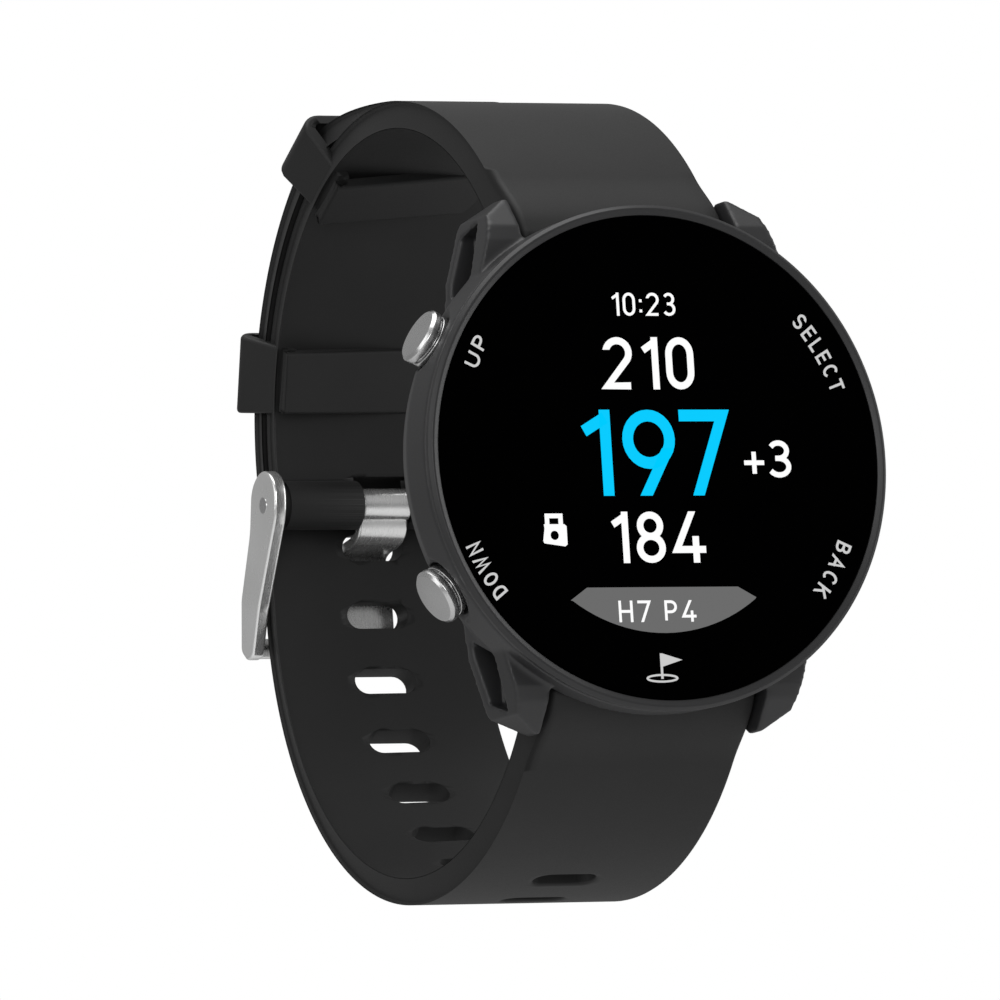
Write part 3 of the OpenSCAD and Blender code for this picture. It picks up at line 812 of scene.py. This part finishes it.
def buckle_tongue():
    """A barrel on the bar, a strip that bends through a slot, and a wider blade outside it."""
    y, z = BAR
    path = spline(
        [
            (y + 0.1, z - 1), (y + 0.5, z - 2.3), (y + 1.3, z - 3), (50.2, 0.22), (52, -0.1),
            (53.1, -0.75), (53.4, -2), (53.45, -3)
        ]
    )
    strip = band_outline(path, TONGUE_T)
    tongue = plate("buckle_tongue_steel", strip, -TONGUE_HALF, TONGUE_HALF, 0.22, 4)
    blade = spline([(53.4, -1.9), (53.45, -3), (53.45, -5), (53.45, -8)])
    wide = plate("tongue_blade", band_outline(blade, TONGUE_T), -BLADE_HALF, BLADE_HALF, 0.22, 4)
    barrel = soften(
        [
            (BORE_R, -TONGUE_HALF, 0.1), (BARREL_R, -TONGUE_HALF, 0.2),
            (BARREL_R, TONGUE_HALF, 0.2), (BORE_R, TONGUE_HALF, 0.1)
        ]
    )
    combine(tongue, [wide, lathe("barrel", barrel, (0, *BAR), (1, 0, 0), 64)], "UNION")
    finish_piece(smooth(tongue), "buckle_tongue", "brushed_metal", "buckle_tongue")


# ---- Display ----


def arc(cx, cy, rx, ry, a0, a1, steps=14):
    turns = [math.radians(a0 + (a1 - a0) * k / steps) for k in range(steps + 1)]
    return [(cx + rx * math.cos(a), cy + ry * math.sin(a)) for a in turns]


def oval(cx, cy, rx, ry):
    return arc(cx, cy, rx, ry, 0, 360, 28)


def stadium(bend):
    top = arc(0.5, 1 - bend, 0.5, bend, 0, 180)
    return top + arc(0.5, bend, 0.5, bend, 180, 360) + [(1, 1 - bend)]


# Each sign: its width as a share of its height, and its strokes in a unit square
SIGNS = {
    "0": (0.52, [stadium(0.3)]),
    "1": (0.34, [[(0.02, 0.79), (1, 0.97)], [(1, 1), (1, 0)]]),
    "2": (0.56, [arc(0.5, 0.73, 0.48, 0.27, 165, -35) + [(0.02, 0), (1, 0)]]),
    "3": (0.52, [
        arc(0.48, 0.76, 0.45, 0.24, 150, -90) + [(0.3, 0.52)],
        arc(0.48, 0.26, 0.52, 0.26, 90, -150),
    ]),
    "4": (0.6, [[(0.6, 1), (0.02, 0.22), (1, 0.22)], [(0.75, 0.52), (0.75, 0)]]),
    "7": (0.52, [[(0, 1), (1, 1), (0.32, 0)]]),
    "8": (0.53, [oval(0.5, 0.76, 0.44, 0.24), oval(0.5, 0.26, 0.5, 0.26)]),
    "9": (0.55, [oval(0.5, 0.68, 0.5, 0.32), [(0.95, 0.56), (0.44, 0)]]),
    ":": (0.14, [[(0.5, 0.1), (0.5, 0.24)], [(0.5, 0.6), (0.5, 0.74)]]),
    "H": (0.56, [[(0, 0), (0, 1)], [(1, 0), (1, 1)], [(0, 0.5), (1, 0.5)]]),
    "P": (0.52, [[(0, 0), (0, 1), (0.5, 1)] + arc(0.5, 0.73, 0.5, 0.27, 90, -90) + [(0, 0.46)]]),
    "U": (0.6, [[(0, 1), (0, 0.35)] + arc(0.5, 0.35, 0.5, 0.35, 180, 360) + [(1, 1)]]),
    "D": (0.6, [[(0, 0), (0, 1), (0.4, 1)] + arc(0.4, 0.5, 0.6, 0.5, 90, -90) + [(0, 0)]]),
    "O": (0.66, [oval(0.5, 0.5, 0.5, 0.5)]),
    "W": (0.85, [[(0, 1), (0.25, 0), (0.5, 0.95), (0.75, 0), (1, 1)]]),
    "N": (0.62, [[(0, 0), (0, 1), (1, 0), (1, 1)]]),
    "S": (0.56, [arc(0.5, 0.75, 0.46, 0.25, 20, 270) + arc(0.5, 0.25, 0.5, 0.25, 90, -160)]),
    "E": (0.5, [[(1, 1), (0, 1), (0, 0), (1, 0)], [(0, 0.52), (0.88, 0.52)]]),
    "L": (0.46, [[(0, 1), (0, 0), (1, 0)]]),
    "C": (0.6, [arc(0.52, 0.5, 0.52, 0.5, 48, 312)]),
    "T": (0.54, [[(0, 1), (1, 1)], [(0.5, 1), (0.5, 0)]]),
    "B": (0.56, [
        [(0, 0.52), (0, 1), (0.45, 1)] + arc(0.45, 0.76, 0.42, 0.24, 90, -90) + [(0, 0.52)],
        [(0, 0.52), (0.45, 0.52)] + arc(0.45, 0.26, 0.55, 0.26, 90, -90) + [(0, 0), (0, 0.52)],
    ]),
    "A": (0.66, [[(0, 0), (0.5, 1), (1, 0)], [(0.17, 0.33), (0.83, 0.33)]]),
    "K": (0.58, [[(0, 0), (0, 1)], [(1, 1), (0.02, 0.36)], [(0.36, 0.6), (1, 0)]]),
}


def ribbon(points, width):
    """The two edges of a stroke, mitred at its bends and cut level at its steep ends."""
    points = [Vector(p) for p in points]
    points = [p for i, p in enumerate(points) if i == 0 or p != points[i - 1]]
    closed = (points[0] - points[-1]).length < 1e-6
    left, right = [], []
    for i, here in enumerate(points):
        back = here - points[i - 1] if i > 0 else None
        ahead = points[i + 1] - here if i < len(points) - 1 else None
        if closed and i == 0:
            back = here - points[-2]
        if closed and i == len(points) - 1:
            ahead = points[1] - here
        back = (back or ahead).normalized()
        ahead = (ahead or back).normalized()
        along = (back + ahead).normalized()
        side = Vector((-along.y, along.x)) * width / 2 / max(0.45, along.dot(ahead))
        if not closed and i in (0, len(points) - 1) and abs(along.y) > 0.8:
            side = Vector((side.x - side.y * along.x / along.y, 0))
        left.append(here + side)
        right.append(here - side)
    return left, right


def reach_edge(end, inner, pen, low, high):
    """A stroke's end carried on to the edge of its sign's box, when it stops beside it."""
    along = (end - inner).normalized()
    if abs(along.y) > 0.8 and (end.y < low + pen * 0.51 or end.y > high - pen * 0.51):
        return end + along * pen / 2 / abs(along.y)
    if abs(along.x) > 0.9:
        return end + along * pen / 2
    return end


class Ink:
    """Collects flat shapes on the glass, and makes them one thin raised mesh."""

    def __init__(self):
        self.verts = []
        self.faces = []

    def strip(self, left, right):
        base, count = len(self.verts), len(left)
        for z in (INK_FRONT, INK_BACK):
            self.verts += [bench(p.x, p.y, z) for p in left + right]
        low = 2 * count
        for k in range(count - 1):
            a, b = base + k, base + count + k
            self.faces.append((a, a + 1, b + 1, b))
            self.faces.append((a + low, b + low, b + 1 + low, a + 1 + low))
            self.faces.append((a, a + low, a + 1 + low, a + 1))
            self.faces.append((b, b + 1, b + 1 + low, b + low))
        for a, b in ((base, base + count), (base + count - 1, base + 2 * count - 1)):
            self.faces.append((a, b, b + low, a + low))

    def fill(self, outline, front=INK_FRONT):
        base, count = len(self.verts), len(outline)
        for z in (front, INK_BACK):
            self.verts += [bench(p[0], p[1], z) for p in outline]
        self.faces.append(tuple(range(base, base + count)))
        self.faces.append(tuple(reversed(range(base + count, base + 2 * count))))
        for k in range(count):
            m = (k + 1) % count
            self.faces.append((base + k, base + m, base + count + m, base + count + k))

    def done(self, name, material):
        mesh = bpy.data.meshes.new(name)
        mesh.from_pydata([Vector(v) * MM for v in self.verts], [], self.faces)
        obj = bpy.data.objects.new(name, mesh)
        bpy.context.scene.collection.objects.link(obj)
        bm = bmesh.new()
        bm.from_mesh(mesh)
        bmesh.ops.recalc_face_normals(bm, faces=bm.faces)
        bm.to_mesh(mesh)
        bm.free()
        finish_piece(obj, "watch", "display")
        obj.data.materials.clear()
        obj.data.materials.append(material)


def write(ink, text, low, high, weight, gap, bend=None):
    """Writes text to fill the box from low to high, or bent by a function of each point."""
    height = high[1] - low[1]
    total = sum(SIGNS[c][0] for c in text) + gap * (len(text) - 1)
    stretch = (high[0] - low[0]) / (total * height)
    pen = weight * height
    x = low[0]
    for c in text:
        width = SIGNS[c][0] * height * stretch
        for stroke in SIGNS[c][1]:
            points = [
                Vector((x + pen / 2 + u * (width - pen), low[1] + pen / 2 + v * (height - pen)))
                for u, v in stroke
            ]
            if (points[0] - points[-1]).length > 1e-6 and len(points) < 6:
                points[0] = reach_edge(points[0], points[1], pen, low[1], high[1])
                points[-1] = reach_edge(points[-1], points[-2], pen, low[1], high[1])
            left, right = ribbon(points, pen)
            if bend:
                left = [bend(p) for p in left]
                right = [bend(p) for p in right]
            ink.strip(left, right)
        x += width + gap * height * stretch


# Button labels: angle, length along the rim and radius
BUTTON_LABELS = (
    ("UP", 151.7, 2.9, 20.2), ("DOWN", -150.6, 5.4, 20.8),
    ("SELECT", 29.6, 7.7, 19.4), ("BACK", -31.7, 5.6, 19.75),
)


def label(text, angle, length, radius):
    """Text that runs clockwise round the glass, its tops outwards, centred on an angle. Its print
    glows by itself, which is painted light.
    """
    ink = Ink()
    height = 1.5

    def bend(p):
        a = math.radians(angle) - p.x / radius
        return Vector((math.cos(a), math.sin(a))) * (radius + p.y)

    write(ink, text, (-length / 2, -height / 2), (length / 2, height / 2), 0.15, 0.26, bend)
    ink.done("label_" + text.lower(), PRINT_WITH_PAINTED_GLOW)


# Screen texts: lower left corner, upper right corner, pen weight and gap
WHITE_TEXTS = (
    ("10:23", (-4.0, 12.85), (2.45, 14.95), 0.12, 0.16),
    ("210", (-5.2, 6.15), (3.95, 10.9), 0.135, 0.14),
    ("184", (-5.55, -9.6), (4.0, -4.95), 0.135, 0.14),
    ("3", (10.8, -1.9), (13.15, 1.5), 0.14, 0.2),
    ("H7", (-5.15, -14.95), (-1.95, -13.0), 0.13, 0.2),
    ("P4", (-0.55, -14.95), (2.6, -13.0), 0.13, 0.2),
)
CYAN_TEXTS = (
    ("19", (-8.1, -3.5), (1.55, 4.3), 0.135, 0.12),
    ("7", (2.1, -3.5), (6.95, 4.3), 0.135, 0.2),
)
PLUS = Vector((9.42, -0.54))
PEN = 0.42


def display():
    white = Ink()
    for row in WHITE_TEXTS:
        write(white, *row)
    for arm in (Vector((1, 0)), Vector((0, 1))):
        white.strip(*ribbon([PLUS - arm, PLUS + arm], PEN))
    padlock(white)
    white.done("display_white", LOOKS["display"])
    cyan = Ink()
    for row in CYAN_TEXTS:
        write(cyan, *row)
    cyan.done("display_distance", CYAN)
    grey = Ink()
    bottom = arc(-0.55, -0.45, 15.5, 15.5, 234, 306.5, 24)
    top = [(8.76, -12.77), (6.96, -11.8), (-8.17, -11.8), (-9.87, -12.94)]
    grey.fill(top + bottom, CASE_H - 0.01)
    grey.done("display_segment", GREY)


def padlock(ink):
    """A padlock sign: a body round a keyhole, under its shackle."""
    left, right, bottom, top = -12.3, -9.85, -8.07, -6.05
    middle = ((left + right) / 2, (bottom + top) / 2)
    hole = [Vector(p) for p in arc(*middle, 0.42, 0.42, 90, 450, 32)]
    corners = [(right, top), (left, top), (left, bottom), (right, bottom)]
    frame_points = soften([(x, y, 0.15) for x, y in corners])
    edge = [project(frame_points, middle, p) for p in hole]
    ink.strip(edge, hole)
    shackle = [(-11.75, top - 0.1), (-11.75, top + 0.75), (-10.4, top + 0.75), (-10.4, top - 0.1)]
    ink.strip(*ribbon(shackle, PEN))


def project(outline, middle, point):
    """Where the ray from the middle through a point meets an outline."""
    middle = Vector(middle)
    ray = point - middle
    hits = []
    for a, b in zip(outline, outline[1:] + outline[:1]):
        side = b - a
        cross = ray.x * side.y - ray.y * side.x
        if abs(cross) < 1e-9:
            continue
        offset = a - middle
        t = (offset.x * side.y - offset.y * side.x) / cross
        u = (offset.x * ray.y - offset.y * ray.x) / cross
        if t > 0 and -1e-3 <= u <= 1 + 1e-3:
            hits.append(t)
    return middle + ray * min(hits)


def emblem():
    """A plain sign at the foot of the glass: a flag on a pole, standing in its hole. Its print
    glows by itself, which is painted light.
    """
    ink = Ink()
    ink.strip(*ribbon([(-1.2, -20.1), (-1.2, -17.8)], 0.22))
    ink.fill([(-1.1, -17.8), (0.9, -18.4), (-1.1, -19.0)])
    ink.strip(*ribbon(arc(-1.2, -20.05, 1.5, 0.3, 0, 360, 32), 0.18))
    ink.done("emblem", PRINT_WITH_PAINTED_GLOW)


# ---- Camera, lights, floor ----

AZIMUTH, ELEVATION, ROLL = (math.radians(a) for a in (-26.0, -6.84, 3.55))
DISTANCE = 1170.0
SHIFT = (-14.445, -3.87)


def camera():
    back = Vector(
        (
            math.sin(AZIMUTH) * math.cos(ELEVATION),
            -math.cos(AZIMUTH) * math.cos(ELEVATION),
            math.sin(ELEVATION),
        )
    )
    level = Vector((math.cos(AZIMUTH), math.sin(AZIMUTH), 0))
    rise = back.cross(level)
    right = level * math.cos(ROLL) - rise * math.sin(ROLL)
    up = level * math.sin(ROLL) + rise * math.cos(ROLL)
    centre = Vector((0, -CASE_H, 0))
    spot = (centre + right * SHIFT[0] + up * SHIFT[1] + back * DISTANCE) * MM
    data = bpy.data.cameras.new("camera")
    data.lens = 468
    data.sensor_width = 36
    data.clip_start = 0.01
    data.clip_end = 20
    obj = bpy.data.objects.new("camera", data)
    turn = Matrix((right, up, back)).transposed().to_4x4()
    obj.matrix_world = Matrix.Translation(spot) @ turn
    bpy.context.scene.collection.objects.link(obj)
    bpy.context.scene.camera = obj


# Soft boxes: where each stands and its size, in metres, and its power in watts
LIGHT_BOXES = (
    ("top_box", (-0.05, 0.0, 0.5), (0.5, 0.5), 1.7),
    ("left_box", (-0.55, -0.1, 0.15), (0.3, 0.5), 0.6),
    ("front_box", (-0.3, -0.6, 0.08), (0.4, 0.3), 1.2),
    ("right_box", (0.55, -0.25, 0.1), (0.3, 0.5), 1.2),
)
LIGHT_TARGET = (0, 0.02, 0)


def area_light(name, spot, size, power):
    data = bpy.data.lights.new(name, "AREA")
    data.shape = "RECTANGLE"
    data.size, data.size_y = size
    data.energy = power
    obj = bpy.data.objects.new(name, data)
    obj.location = spot
    obj.rotation_euler = (Vector(LIGHT_TARGET) - Vector(spot)).to_track_quat("-Z", "Y").to_euler()
    obj.visible_camera = False
    bpy.context.scene.collection.objects.link(obj)


def studio():
    """A white surround that the camera sees, dimmer as a light, with soft boxes round it."""
    world = bpy.data.worlds.new("studio")
    world.use_nodes = True
    nodes, links = world.node_tree.nodes, world.node_tree.links
    backdrop = nodes["Background"]
    backdrop.inputs["Color"].default_value = (1, 1, 1, 1)
    backdrop.inputs["Strength"].default_value = 1.0
    glow = nodes.new("ShaderNodeBackground")
    glow.inputs["Color"].default_value = (1, 1, 1, 1)
    glow.inputs["Strength"].default_value = 0.3
    path = nodes.new("ShaderNodeLightPath")
    mix = nodes.new("ShaderNodeMixShader")
    links.new(path.outputs["Is Camera Ray"], mix.inputs["Fac"])
    links.new(glow.outputs["Background"], mix.inputs[1])
    links.new(backdrop.outputs["Background"], mix.inputs[2])
    links.new(mix.outputs["Shader"], nodes["World Output"].inputs["Surface"])
    bpy.context.scene.world = world
    for box in LIGHT_BOXES:
        area_light(*box)
    bpy.context.scene.view_settings.view_transform = "Standard"
    bpy.context.scene.view_settings.look = "None"


def floor():
    """A pale floor well below the watch, out of the low camera's sight."""
    size, height = 6.0, -0.3
    mesh = bpy.data.meshes.new("floor")
    corners = [(-size, -size), (size, -size), (size, size), (-size, size)]
    mesh.from_pydata([(x, y, height) for x, y in corners], [], [(0, 1, 2, 3)])
    obj = bpy.data.objects.new("floor", mesh)
    bpy.context.scene.collection.objects.link(obj)
    paper = surface("floor_paper", (0.86, 0.86, 0.86), 0.8, size=30.0, vary=0.01, bump=0)
    obj.data.materials.append(paper)


camera()
studio()
floor()
paint_cad_nodes()
bezel()
lens()
mid_case()
buttons()
upper_strap()
lower_strap()
keeper("free_keeper", *FREE_KEEPER)
keeper("top_keeper", *TOP_KEEPER)
buckle_frame()
buckle_tongue()
display()
for row in BUTTON_LABELS:
    label(*row)
emblem()
